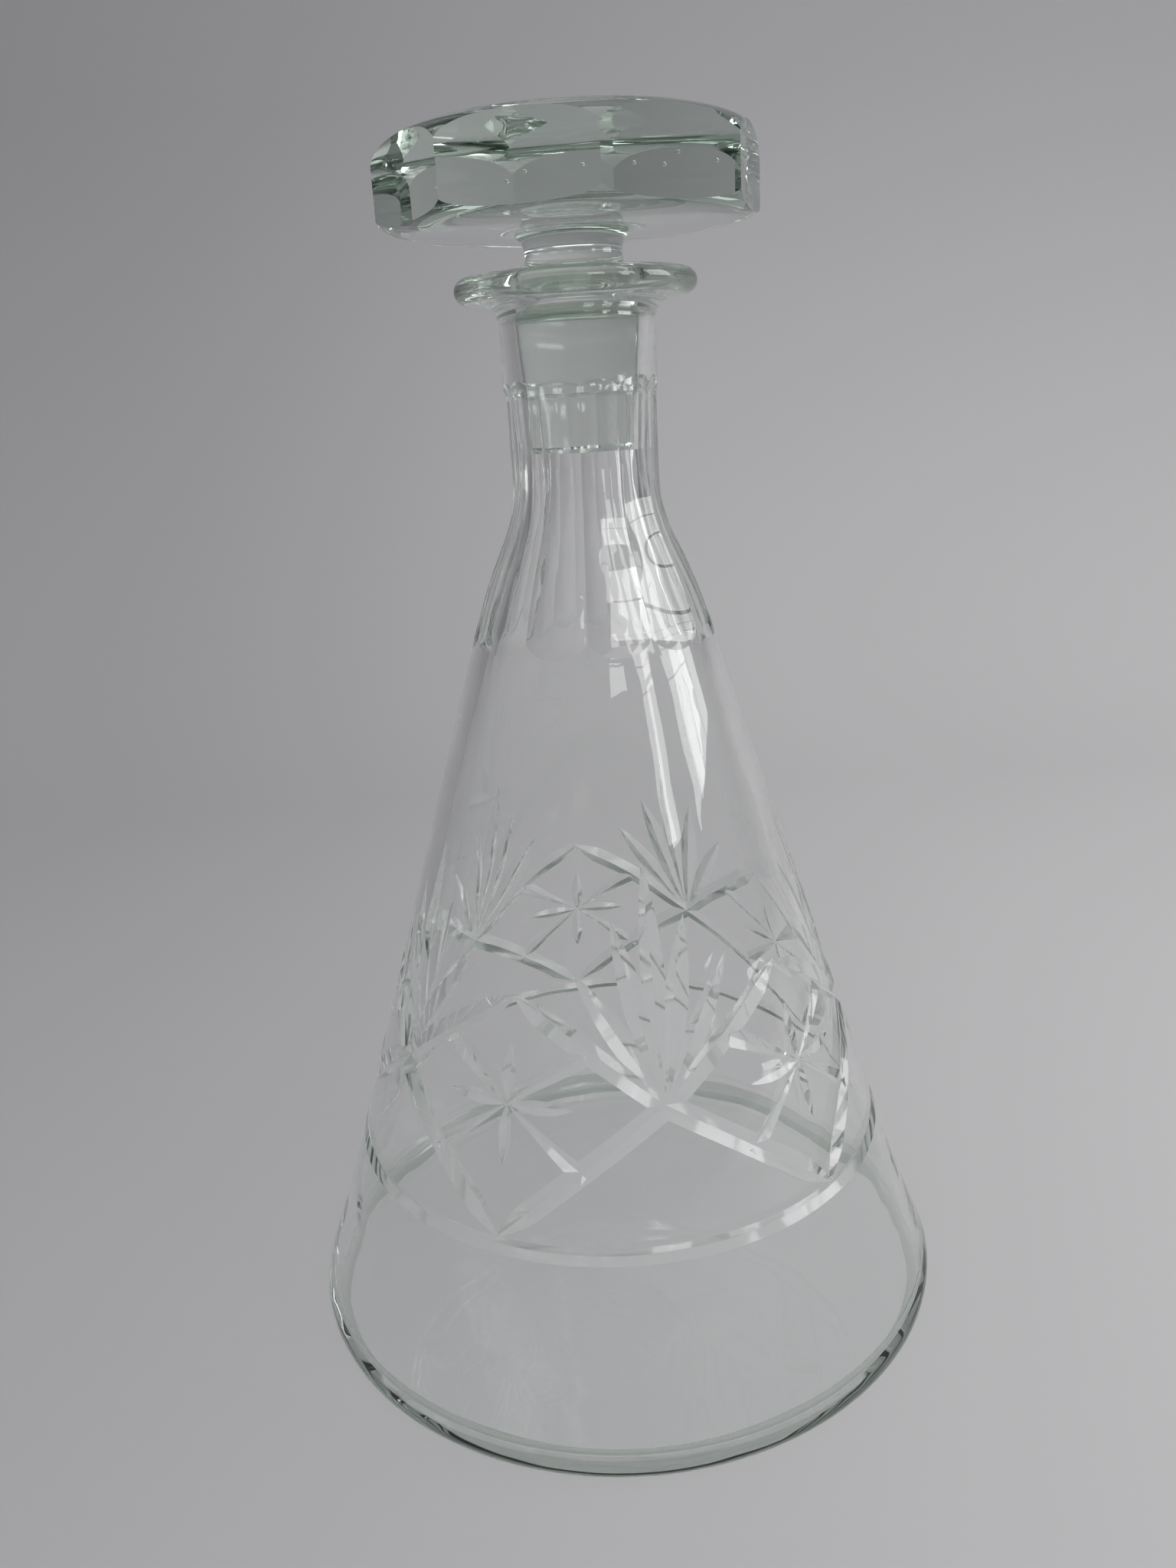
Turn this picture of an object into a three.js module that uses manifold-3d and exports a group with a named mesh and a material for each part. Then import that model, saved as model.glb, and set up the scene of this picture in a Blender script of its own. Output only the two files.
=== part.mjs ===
// A conical blown and cut glass decanter with its ground-in glass stopper.
// Millimetres, +Z up, origin at the middle of the foot. The front is towards -Y.
import * as THREE from 'three';
import { mergeVertices } from 'three/addons/utils/BufferGeometryUtils.js';
import Module from 'manifold-3d';

const wasm = await Module();
wasm.setup();

// foot and body, a cone between two curves
const coneFootRadius = 69.85; // the cone drawn down to the table
const coneSlope = 0.307; // radius lost for each millimetre of height
const coneHeight = 150; // where the shoulder starts
const footFlare = 1.2; // how far the foot's edge stands out beyond the cone
const footRound = 4.6; // radius of the foot's edge
const footRoundEnd = 21; // degrees that this edge goes on above its widest place
const footBend = 22; // height at which the flare of the foot bends into the cone
const footFlareTop = 37;
const puntMargin = 17; // from the foot's widest place in to the hollow under it
const puntRise = 1.6;
const baseThickness = 3.4;
const floorRound = 3.6; // between the floor and the wall inside
const wallThickness = 3.2;

// shoulder, neck and mouth
const shoulderHeight = 30;
const shoulderLowerPull = 16; // how far the shoulder goes on along the cone
const shoulderUpperPull = 12; // and how far it comes back down along the neck
const neckRadius = 14.8;
const neckLength = 35.9;
const lipRadius = 22.8;
const lipThickness = 4.6;
const lipFillet = 4.4; // height of the round under the lip
const mouthRadius = 14.4;
const mouthFlare = 4.4; // depth of the flared mouth above the ground seat
const boreStart = 11; // the wall inside leaves the cone this far below the shoulder
const borePull = 17; // and bends into the neck over this height at either end

// ground taper that the plug sits in
const plugTopRadius = 11.95;
const plugBottomRadius = 10.1;
const plugLength = 25.5;
const plugChamfer = 0.8;
const seatClearance = 0.3;
const seatBelowRim = 6.4; // from the rim down to the top of the ground zone

// stopper
const stemRadius = 9.1;
const stemAboveRim = 3.4; // height of the narrowest place above the rim
const stemPull = 3.7; // height over which the plug bends into the stem
const stemFillet = 4.5;
const headAboveRim = 7.3; // height of the flat underside above the rim
const headCornerRadius = 35.8;
const headBlankRadius = 36.6; // the round blank that the flats are cut from
const headSides = 8;
const headLowerRise = 7.4; // from the underside to the widest place
const headUpperRise = 10.5; // from there to the top
const headLowerSquareness = 6; // 2 is an ellipse, more is squarer
const headUpperSquareness = 3.9;
const headSteps = 9; // facets of each of these two curves
const stopperTurn = -2.5; // degrees, how the stopper was put in

// flutes ground down the neck and shoulder
const fluteCount = 12;
const fluteTurn = 1.5; // degrees from the front to the middle of a flute
const fluteDepth = 1.15;
const fluteHollow = 0.25; // how far the middle of a flute lies below a flat one
const fluteOverlap = 2.5; // how far the flutes reach below the shoulder
const fluteBelowRim = 18.9;
const fluteRunIn = 4.4; // over this length a flute gets its full depth at the bottom
const fluteRunOut = 3.2; // and loses it again at the top

// ring groove round the body
const ringHeight = 41.3;
const ringWidth = 4.6;
const ringDepth = 1.25;

// wheel-cut pattern: a trellis with a fan on each crossing and a star in each diamond
const motifCount = 5; // fans round the body, and as many stars between them
const patternHeight = 67.5; // of the crossings and of the middles of the stars
const mitre = 0.27; // depth of a cut over its width
const trellisRise = 19.5; // from a crossing up to the tip above a star
const trellisDrop = 24.4; // and down to the tip below it
const trellisWidth = 4.3;
const trellisOverrun = 0.02; // share of its length that each cut runs past either end
const fanTips = [[0, 44.5], [10.5, 34], [21, 25]]; // degrees aside and rise of each ray
const fanWidths = [4.2, 4.4, 4.4];
const starRise = 11.4; // reach of the upright rays
const starReach = 15.5; // degrees to either side that the level rays reach
const starRayWidth = 2.7;
const leafWidth = 3.8; // of the four slanted rays, where they end in the trellis
const trellisTaper = 0.2; // share of a trellis cut that tapers out at its tip
const trellisTipDepth = 0.1;
const leafGrowth = 0.8; // 1 widens evenly, less sooner
const endInAir = 0.03; // share of its depth by which a cutter's pointed end stands clear
const handUnevenness = 0.015; // share by which one cut is wider than the one before it
const unevenCuts = 7; // cuts until this starts again

const bottleSegments = 48;
const stopperSegments = 48;
const fluteSegments = 4; // across one flute
const facetTurn = 15; // degrees that a facet of a round outline may turn
const facetLength = 10; // length of a facet along a shallow curve
const cutStep = 8; // length of a facet along a cut
const shortestEdge = 0.01; // slivers thinner than this are closed where cuts cross

const glass = new THREE.MeshStandardMaterial({
  color: 0xdfe8e4, roughness: 0.03, metalness: 0, transparent: true, opacity: 0.35,
});
const stopperGlass = new THREE.MeshStandardMaterial({
  color: 0xd6e0dc, roughness: 0.05, metalness: 0, transparent: true, opacity: 0.45,
});

const degree = Math.PI / 180;
const coneAngle = Math.atan(coneSlope);
const coneRadiusAt = (height) => coneFootRadius - coneSlope * height;
const footRadius = coneRadiusAt(footRound) + footFlare;
const neckBottom = coneHeight + shoulderHeight;
const bottleHeight = neckBottom + neckLength;
const seatTop = bottleHeight - seatBelowRim;
const seatBottom = seatTop - plugLength;

// A closed solid from a geometry: its doubled points are merged and its empty faces dropped.
function solidOf(geometry) {
  const bare = geometry.index ? geometry.toNonIndexed() : geometry.clone();
  bare.deleteAttribute('normal');
  bare.deleteAttribute('uv');
  const merged = mergeVertices(bare, 1e-5);
  const corners = Array.from(merged.index.array);
  const kept = [];
  for (let i = 0; i < corners.length; i += 3) {
    const [a, b, c] = corners.slice(i, i + 3);
    if (a !== b && b !== c && c !== a) kept.push(a, b, c);
  }
  return new wasm.Manifold(new wasm.Mesh({
    numProp: 3,
    vertProperties: new Float32Array(merged.attributes.position.array),
    triVerts: new Uint32Array(kept),
  }));
}

function geometryOf(solid) {
  const mesh = solid.getMesh();
  const geometry = new THREE.BufferGeometry();
  geometry.setAttribute('position', new THREE.BufferAttribute(new Float32Array(mesh.vertProperties), 3));
  geometry.setIndex(new THREE.BufferAttribute(new Uint32Array(mesh.triVerts), 1));
  return geometry;
}

// A body of revolution round +Z from points of (radius, height), listed upwards on the outside.
function revolve(points, segments) {
  return new THREE.LatheGeometry(points, segments).rotateX(Math.PI / 2);
}

// Points of a path: a line has two, and a curve has more where it is long or turns much.
function pointsAlong(path, turn = facetTurn, length = facetLength) {
  const samples = 12;
  const points = path.curves.flatMap((curve) => {
    if (curve.isLineCurve) return [curve.v1, curve.v2];
    const tangents = Array.from({ length: samples + 1 }, (_, i) => curve.getTangent(i / samples));
    const turned = tangents.slice(1).reduce((sum, tangent, i) => (
      sum + Math.acos(Math.min(1, tangent.dot(tangents[i])))
    ), 0);
    const steps = Math.max(turned / (turn * degree), curve.getLength() / length, 2);
    return curve.getPoints(Math.ceil(steps));
  });
  const joined = 0.01;
  return points.filter((point, i) => i === 0 || point.distanceTo(points[i - 1]) > joined);
}

// The bottle's outside, from the middle of the punt up to the rim.
function drawOutside(path) {
  const footMiddle = footRadius - footRound;
  const puntRadius = footRadius - puntMargin;
  path.moveTo(0, puntRise);
  const puntCrown = puntRadius / 2; // where its vault would be level
  path.quadraticCurveTo(puntCrown, puntRise, puntRadius, 0);
  path.lineTo(footMiddle, 0);
  path.absarc(footMiddle, footRound, footRound, -Math.PI / 2, footRoundEnd * degree, false);
  path.quadraticCurveTo(coneRadiusAt(footBend), footBend, coneRadiusAt(footFlareTop), footFlareTop);
  path.lineTo(coneRadiusAt(ringHeight - ringWidth / 2), ringHeight - ringWidth / 2);
  path.lineTo(coneRadiusAt(ringHeight) - ringDepth, ringHeight - ringDepth * coneSlope);
  path.lineTo(coneRadiusAt(ringHeight + ringWidth / 2), ringHeight + ringWidth / 2);
  path.lineTo(coneRadiusAt(coneHeight), coneHeight);
  path.bezierCurveTo(
    coneRadiusAt(coneHeight + shoulderLowerPull), coneHeight + shoulderLowerPull,
    neckRadius, neckBottom - shoulderUpperPull,
    neckRadius, neckBottom,
  );
  const lipUnderside = bottleHeight - lipThickness;
  const lipMiddle = lipRadius - lipThickness / 2;
  path.lineTo(neckRadius, lipUnderside - lipFillet);
  path.quadraticCurveTo(neckRadius, lipUnderside, lipMiddle, lipUnderside);
  path.absarc(
    lipMiddle, bottleHeight - lipThickness / 2,
    lipThickness / 2, -Math.PI / 2, Math.PI / 2, false,
  );
  path.lineTo(mouthRadius, bottleHeight);
}

// The inside, from the rim down to the middle of the floor.
function drawInside(path) {
  const boreTop = plugTopRadius + seatClearance;
  const boreBottom = plugBottomRadius + seatClearance;
  const wallAcross = wallThickness / Math.cos(coneAngle);
  const insideAt = (height) => coneRadiusAt(height) - wallAcross;
  const boreFoot = coneHeight - boreStart;
  path.quadraticCurveTo(boreTop, bottleHeight, boreTop, bottleHeight - mouthFlare);
  path.lineTo(boreTop, seatTop);
  path.lineTo(boreBottom, seatBottom);
  path.bezierCurveTo(
    boreBottom, seatBottom - borePull,
    insideAt(boreFoot + borePull), boreFoot + borePull,
    insideAt(boreFoot), boreFoot,
  );
  path.lineTo(insideAt(baseThickness + floorRound), baseThickness + floorRound);
  path.quadraticCurveTo(
    insideAt(baseThickness), baseThickness,
    insideAt(baseThickness) - floorRound, baseThickness,
  );
  path.lineTo(0, baseThickness);
}

// The floor of a flute along its middle, from outside the cone up to outside the neck.
function drawFluteFloor(path) {
  const beyond = 2; // clear of the glass at either end
  const bottom = coneHeight - fluteOverlap;
  const top = bottleHeight - fluteBelowRim;
  const ground = bottom + fluteRunIn;
  const groundRadius = coneRadiusAt(ground) - fluteDepth;
  const floorRadius = neckRadius - fluteDepth;
  path.moveTo(coneRadiusAt(bottom) + beyond, bottom - beyond);
  path.lineTo(coneRadiusAt(bottom), bottom);
  path.quadraticCurveTo(
    groundRadius + coneSlope * fluteRunIn / 2, ground - fluteRunIn / 2,
    groundRadius, ground,
  );
  path.bezierCurveTo(
    groundRadius - coneSlope * shoulderLowerPull, ground + shoulderLowerPull,
    floorRadius, neckBottom - shoulderUpperPull,
    floorRadius, neckBottom,
  );
  path.lineTo(floorRadius, top - fluteRunOut);
  path.quadraticCurveTo(floorRadius, top - fluteRunOut / 2, neckRadius, top);
  path.lineTo(neckRadius + beyond, top + beyond);
}

// Everything outside the fluted neck: a ring whose hole has the flutes for its wall.
function fluteCutter() {
  const path = new THREE.Path();
  drawFluteFloor(path);
  const floor = pointsAlong(path, facetTurn / 2, facetLength);
  const outerRadius = coneRadiusAt(0);
  const ring = [
    ...floor,
    new THREE.Vector2(outerRadius, floor.at(-1).y),
    new THREE.Vector2(outerRadius, floor[0].y),
    floor[0].clone(),
  ].reverse();
  const geometry = revolve(ring, fluteCount * fluteSegments);
  const position = geometry.attributes.position;
  const halfPitch = Math.PI / fluteCount;
  for (let i = 0; i < position.count; i += 1) {
    const x = position.getX(i);
    const y = position.getY(i);
    const radius = Math.hypot(x, y);
    if (radius < outerRadius / 2) {
      const angle = Math.atan2(x, -y);
      const within = angle - Math.round(angle / (2 * halfPitch)) * 2 * halfPitch;
      const stretch = 1 / Math.cos(within) + (fluteHollow / radius) * (within / halfPitch) ** 2;
      position.setXY(i, x * stretch, y * stretch);
    }
  }
  return solidOf(geometry.rotateZ(fluteTurn * degree));
}

// A place on the cone, laid out flat with the tip of the cone at the origin and the front below it.
function laidOut(turn, height) {
  const slant = coneRadiusAt(height) / Math.sin(coneAngle);
  const spread = turn * degree * Math.sin(coneAngle);
  return new THREE.Vector2(slant * Math.sin(spread), -slant * Math.cos(spread));
}

// The point above that flat place when it is rolled up again, at a distance out of the glass.
function rolledUp(place, out) {
  const turn = Math.atan2(place.x, -place.y) / Math.sin(coneAngle);
  const coneRadius = place.length() * Math.sin(coneAngle);
  const radius = coneRadius + out * Math.cos(coneAngle);
  const height = (coneFootRadius - coneRadius) / coneSlope + out * Math.sin(coneAngle);
  return [radius * Math.sin(turn), -radius * Math.cos(turn), height];
}

// One straight pass of the mitre wheel. The share of its full width along the way is outline(0 to 1).
function wheelCut(from, to, width, outline) {
  const start = laidOut(...from);
  const along = laidOut(...to).sub(start);
  const across = new THREE.Vector2(-along.y, along.x).normalize();
  const steps = Math.ceil(along.length() / cutStep);
  const bar = new THREE.CylinderGeometry(1, 1, 1, 3, steps, false);
  const position = bar.attributes.position;
  const lift = width * mitre; // how far the bar stands out of the glass
  const third = (2 * Math.PI) / 3; // from the wheel's edge round to the two outer corners
  for (let i = 0; i < position.count; i += 1) {
    const share = position.getY(i) + 0.5;
    const depth = width * mitre * outline(share);
    const below = (position.getZ(i) - Math.cos(third)) / (1 - Math.cos(third));
    const aside = position.getX(i) / Math.sin(third);
    const place = start.clone()
      .addScaledVector(along, share)
      .addScaledVector(across, aside * (lift + depth) / (2 * mitre));
    position.setXYZ(i, ...rolledUp(place, lift - below * (lift + depth)));
  }
  return bar;
}

// A trellis cut tapers out at its tip, a ray is a lens with both ends pointed,
// and a leaf grows from the middle of the star.
const trellisCut = (share) => Math.min(1, share / trellisTaper + trellisTipDepth);
const rayCut = (share) => 4 * share * (1 - share) - endInAir;
const leafCut = (share) => share ** leafGrowth - endInAir;

// The cuts of one fan and of the star to its right.
function motifCuts() {
  const crossing = [0, patternHeight];
  const half = 180 / motifCount; // degrees from a fan to a star
  const cuts = [];
  const pass = (from, to, width, outline) => {
    const uneven = 1 + handUnevenness * (cuts.length % unevenCuts); // none crosses its equal
    cuts.push(wheelCut(from, to, width * uneven, outline));
  };
  [-half, half].forEach((side) => {
    [trellisRise, -trellisDrop].forEach((rise) => {
      const [tip, end] = [1 + trellisOverrun, -trellisOverrun].map((share) => (
        [side * share, patternHeight + rise * share]
      ));
      pass(tip, end, trellisWidth, trellisCut);
    });
  });
  fanTips.forEach(([aside, rise], i) => {
    (aside ? [-aside, aside] : [0]).forEach((turn) => {
      pass(crossing, [turn, patternHeight + rise], fanWidths[i], rayCut);
    });
  });
  const middle = [half, patternHeight];
  [[0, starRise], [0, -starRise], [-starReach, 0], [starReach, 0]].forEach(([turn, rise]) => {
    pass(middle, [half + turn, patternHeight + rise], starRayWidth, rayCut);
  });
  [-half / 2, half / 2].forEach((turn) => {
    [trellisRise / 2, -trellisDrop / 2].forEach((rise) => {
      pass(middle, [half + turn, patternHeight + rise], leafWidth, leafCut);
    });
  });
  return cuts;
}

function patternCutters() {
  const cuts = motifCuts();
  return Array.from({ length: motifCount }, (_, i) => (
    cuts.map((cut) => solidOf(cut.clone().rotateZ(i * 2 * Math.PI / motifCount)))
  )).flat();
}

function bottle() {
  const path = new THREE.Path();
  drawOutside(path);
  drawInside(path);
  const offEdge = Math.PI / (2 * bottleSegments); // so that no cut runs along an edge of the facets
  const blown = solidOf(revolve(pointsAlong(path), bottleSegments).rotateZ(offEdge));
  const cutters = [fluteCutter(), ...patternCutters()];
  const cut = wasm.Manifold.difference([blown, ...cutters]).asOriginal().simplify(shortestEdge);
  const mesh = new THREE.Mesh(geometryOf(cut), glass);
  mesh.name = 'bottle';
  return mesh;
}

// A quarter of a superellipse: radius against rise, as an offset from the head's widest place.
function bulge(rise, squareness) {
  return Array.from({ length: headSteps + 1 }, (_, i) => {
    const angle = (i / headSteps) * (Math.PI / 2);
    const power = 2 / squareness;
    return new THREE.Vector2(
      headBlankRadius * Math.cos(angle) ** power,
      rise * Math.sin(angle) ** power,
    );
  });
}

function stopperProfile() {
  const headMiddle = bottleHeight + headAboveRim + headLowerRise;
  const underside = bottleHeight + headAboveRim;
  const path = new THREE.Path();
  path.moveTo(0, seatBottom);
  path.lineTo(plugBottomRadius - plugChamfer, seatBottom);
  path.lineTo(plugBottomRadius, seatBottom + plugChamfer);
  path.lineTo(plugTopRadius, seatTop);
  path.bezierCurveTo(
    plugTopRadius, seatTop + stemPull,
    stemRadius, bottleHeight + stemAboveRim - stemPull,
    stemRadius, bottleHeight + stemAboveRim,
  );
  path.quadraticCurveTo(stemRadius, underside, stemRadius + stemFillet, underside);
  const lower = bulge(headLowerRise, headLowerSquareness).reverse().slice(1);
  const upper = bulge(headUpperRise, headUpperSquareness).slice(1);
  return [
    ...pointsAlong(path),
    ...lower.map((point) => new THREE.Vector2(point.x, headMiddle - point.y)),
    ...upper.map((point) => new THREE.Vector2(Math.max(point.x, 0), headMiddle + point.y)),
  ];
}

function stopper() {
  const blank = solidOf(revolve(stopperProfile(), stopperSegments));
  const tall = bottleHeight * 3; // well past the head either way
  const prism = new THREE.CylinderGeometry(headCornerRadius, headCornerRadius, tall, headSides);
  const flats = solidOf(prism.rotateX(Math.PI / 2).rotateZ(stopperTurn * degree));
  const mesh = new THREE.Mesh(geometryOf(blank.intersect(flats)), stopperGlass);
  mesh.name = 'stopper';
  return mesh;
}

const decanter = new THREE.Group();
decanter.add(bottle(), stopper());

export default decanter;
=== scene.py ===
# A conical blown and cut glass decanter with its ground-in stopper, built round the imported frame.
# The pieces are drawn in millimetres and brought to metres when they are finished.
from math import atan, atan2, ceil, cos, pi, radians, sin, tau

import bmesh
import bpy
from mathutils import Matrix, Vector, noise
from mathutils.geometry import interpolate_bezier


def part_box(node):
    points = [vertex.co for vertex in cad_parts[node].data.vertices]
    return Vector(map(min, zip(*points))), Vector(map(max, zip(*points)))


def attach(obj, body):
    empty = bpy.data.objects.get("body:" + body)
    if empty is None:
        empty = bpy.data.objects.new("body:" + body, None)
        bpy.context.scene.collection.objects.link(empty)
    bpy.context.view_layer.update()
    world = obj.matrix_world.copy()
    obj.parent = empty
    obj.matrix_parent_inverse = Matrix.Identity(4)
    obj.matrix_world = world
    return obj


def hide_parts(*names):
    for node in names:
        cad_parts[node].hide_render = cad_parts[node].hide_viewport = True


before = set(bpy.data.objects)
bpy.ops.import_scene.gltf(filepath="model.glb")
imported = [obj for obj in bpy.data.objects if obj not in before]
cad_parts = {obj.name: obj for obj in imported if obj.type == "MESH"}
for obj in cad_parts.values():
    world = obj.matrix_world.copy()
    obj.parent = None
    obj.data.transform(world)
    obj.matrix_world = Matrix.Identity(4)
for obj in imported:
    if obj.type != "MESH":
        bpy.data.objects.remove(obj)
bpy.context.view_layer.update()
perMetre = 1000  # millimetres
bottleBox = [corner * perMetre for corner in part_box("bottle")]
stopperBox = [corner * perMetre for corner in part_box("stopper")]
inset = 0.02  # the pieces stay this far inside the box of the frame
closeness = {"weld": 0.0005, "sliver": 0.0001, "carvedSliver": 0.002}  # millimetres
creaseAngle = 16  # degrees between two faces from which their edge shows
# Each label of a face, with how rough and how satin its glass is, and how much painted shade
# darkens its colour, from 0 to 1.
finishLooks = {
    "blown": (0, 0, 0),
    "inside": (0, 0, 0),
    "fluted": (0.04, 0, 0),
    "cut": (0.2, 0.13, 0),
    "fan": (0.2, 0.12, 0),
    "ring": (0.2, 0.07, 0),
    "ground": (0.16, 0.02, 0.08),
    # lip, foot and edge only add painted shade: darker bands on the lip, round the foot and at the
    # top of the plug
    "lip": (0, 0, 0.62),
    "foot": (0, 0, 1),
    "edge": (0, 0, 0.7),
}
finishes = list(finishLooks)  # a label is a material index until its piece is finished
lookNames = ["ground", "satin", "paintedShade"]  # attributes of the faces that the glass reads; the last is painted shade
meltedTogether = {"blown", "lip", "foot", "edge"}  # labels with no crease between them: the blown glass and the labels that only add painted shade


# Drawing: a place is (radius, 0, height), and an outline is a list of them.
def at(radius, height):
    return Vector((radius, 0, height))


def straight(start, end, pieces=1):
    return [start.lerp(end, i / pieces) for i in range(pieces + 1)]


def bent(start, towards, end, pieces):
    handles = [start.lerp(towards, 2 / 3), end.lerp(towards, 2 / 3)]
    return interpolate_bezier(start, *handles, end, pieces + 1)


def bentTwice(start, leaving, arriving, end, pieces):
    return interpolate_bezier(start, leaving, arriving, end, pieces + 1)


def arc(centre, radius, fromAngle, toAngle, pieces):
    angles = [radians(fromAngle + (toAngle - fromAngle) * i / pieces) for i in range(pieces + 1)]
    return [centre + at(radius * cos(a), radius * sin(a)) for a in angles]


wedges = 12  # a round shape is spun as one wedge, and the wedge repeated


def spinWedge(bm, outline, finish, steps):
    before = set(bm.faces)
    verts = [bm.verts.new(place) for place in outline]
    edges = [bm.edges.new(pair) for pair in zip(verts, verts[1:])]
    bmesh.ops.spin(
        bm, geom=verts + edges, cent=(0, 0, 0), axis=(0, 0, 1), dvec=(0, 0, 0),
        angle=tau / wedges, steps=steps // wedges, use_merge=False, use_duplicate=False,
    )
    for face in set(bm.faces) - before:
        face.material_index = finishes.index(finish)


def repeatRound(bm, times):
    bmesh.ops.spin(
        bm, geom=bm.verts[:] + bm.edges[:] + bm.faces[:], cent=(0, 0, 0), axis=(0, 0, 1),
        dvec=(0, 0, 0), angle=tau * (1 - 1 / times), steps=times - 1, use_merge=False,
        use_duplicate=True,
    )


# A spin makes its edges and faces in no fixed order. They are put in the order of their corners,
# so that each run cuts the same mesh.
def sortByCorners(bm):
    bm.verts.index_update()
    many = len(bm.verts)

    def rank(part):
        place = 0
        for index in sorted(vert.index for vert in part.verts)[:3]:
            place = place * many + index
        return place

    bm.edges.sort(key=rank)
    bm.faces.sort(key=rank)


def closeRound(bm):
    sortByCorners(bm)
    repeatRound(bm, wedges)
    bmesh.ops.remove_doubles(bm, verts=bm.verts, dist=closeness["weld"])
    bmesh.ops.dissolve_degenerate(bm, edges=bm.edges, dist=closeness["sliver"])
    bmesh.ops.recalc_face_normals(bm, faces=bm.faces)


drawn = {"width": 1.6, "length": 30, "boreDepth": 0.08, "plugDepth": 0.05}


# Lines that a tool leaves up and down a turned wall, from -1 to 1.
def drawnLines(place):
    return noise.noise(Vector((*place.xy / drawn["width"], place.z / drawn["length"])))


def newPiece(name, bm):
    mesh = bpy.data.meshes.new(name)
    bm.to_mesh(mesh)
    bm.free()
    piece = bpy.data.objects.new(name, mesh)
    bpy.context.scene.collection.objects.link(piece)
    for finish in finishes:
        mesh.materials.append(None)
    return piece


def carve(piece, cutters):
    for cutter in cutters:
        modifier = piece.modifiers.new(cutter.name, "BOOLEAN")
        modifier.operation = "DIFFERENCE"
        modifier.solver = "EXACT"
        modifier.object = cutter
    evaluated = piece.evaluated_get(bpy.context.evaluated_depsgraph_get())
    carved = bpy.data.meshes.new_from_object(evaluated)
    piece.modifiers.clear()
    blank, piece.data = piece.data, carved
    bpy.data.meshes.remove(blank)
    for cutter in cutters:
        bpy.data.meshes.remove(cutter.data)


# Marks the creases, turns the labels into the attributes that the glass reads, goes to metres.
def finishPiece(piece, glass):
    bm = bmesh.new()
    bm.from_mesh(piece.data)
    bmesh.ops.dissolve_degenerate(bm, edges=bm.edges, dist=closeness["carvedSliver"])
    bmesh.ops.scale(bm, verts=bm.verts, vec=[1 / perMetre] * 3)
    layers = [bm.faces.layers.float.new(name) for name in lookNames]
    for face in bm.faces:
        face.smooth = True
        for layer, share in zip(layers, finishLooks[finishes[face.material_index]]):
            face[layer] = share
    for edge in bm.edges:
        if len(edge.link_faces) == 2:
            one, other = edge.link_faces
            labels = {finishes[one.material_index], finishes[other.material_index]}
            parted = len(labels) > 1 and not labels <= meltedTogether
            edge.smooth = not parted and edge.calc_face_angle(0) < radians(creaseAngle)
    for face in bm.faces:
        face.material_index = 0
    bm.to_mesh(piece.data)
    bm.free()
    piece.data.materials.clear()
    piece.data.materials.append(glass)
    weighted = piece.modifiers.new("normals", "WEIGHTED_NORMAL")
    weighted.keep_sharp = True
    weighted.weight = 100  # the broad faces lead


print("camera")
shot = {
    "distance": 0.24972,  # from the axis
    "height": 0.19551,
    "pitch": 17.68,  # degrees down
    "aside": -0.66,
    "roll": -3.23,
    "partTurn": 10.56,  # the decanter stands turned by this much
    "lens": 28.48,
    "sensor": 36,
    "nearest": 0.01,
}


# Degrees round from the camera's side, to the right in the picture, and up.
def roundTheTable(turn, rise, distance):
    turned = radians(turn - shot["partTurn"])
    flat = distance * cos(radians(rise))
    return Vector((flat * sin(turned), -flat * cos(turned), distance * sin(radians(rise))))


def makeCamera():
    camera = bpy.data.objects.new("camera", bpy.data.cameras.new("camera"))
    bpy.context.scene.collection.objects.link(camera)
    camera.data.sensor_width = shot["sensor"]
    camera.data.lens = shot["lens"]
    camera.data.clip_start = shot["nearest"]
    camera.location = roundTheTable(0, 0, shot["distance"]) + Vector((0, 0, shot["height"]))
    turned = Matrix.Rotation(radians(-shot["partTurn"] - shot["aside"]), 4, "Z")
    tipped = Matrix.Rotation(radians(90 - shot["pitch"]), 4, "X")
    rolled = Matrix.Rotation(radians(shot["roll"]), 4, "Z")
    camera.rotation_euler = (turned @ tipped @ rolled).to_euler()
    bpy.context.scene.camera = camera


makeCamera()


print("stage and light")
stage = {
    "floorReach": 2.6,
    "wallDistance": 0.75,
    "wallBend": 0.4,
    "bendSteps": 12,
    "wallHeight": 1.6,
    "wallToneFrom": 0.6,  # height at which the paper has the wall's darker colour, painted shade
    "belowFoot": 0.0003,
    "roughness": 0.9,
    # Painted light: the floor is lighter to the right, towards the windows.
    "shadedLeftColour": (0.47, 0.465, 0.475, 1),
    "litRightColour": (0.58, 0.575, 0.58, 1),
    "sideways": 0.22,  # how far each of the two lies from the middle
    # Painted shade: the wall is darker than the floor.
    "shadedWallColour": (0.39, 0.385, 0.40, 1),
}
light = {
    "room": 0.25,
    "ceiling": 0.46,
    "windowDistance": 1,
    "windowAim": 0.15,  # height that the windows face
    # turn, rise, width and height in degrees, and panes across and up
    "windows": [
        (47, 22, 7.5, 28, 1, 3),
        (54.5, 27, 7.5, 18, 1, 2),
        (20, 29.5, 16, 17, 2, 2),
        (85, 21, 26, 30, 3, 3),
    ],
    "bar": 0.06,  # share of a pane that its frame takes
    "windowStrength": 5,
    "topStrength": 1.1,
    "topSize": 1.2,
    "topRise": 75,
    "topDistance": 1.6,
    "topAim": 0.1,
    "horizon": -0.2,  # from here up, the room brightens to the ceiling
    "roomColour": (0.97, 0.98, 1, 1),
}


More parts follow.
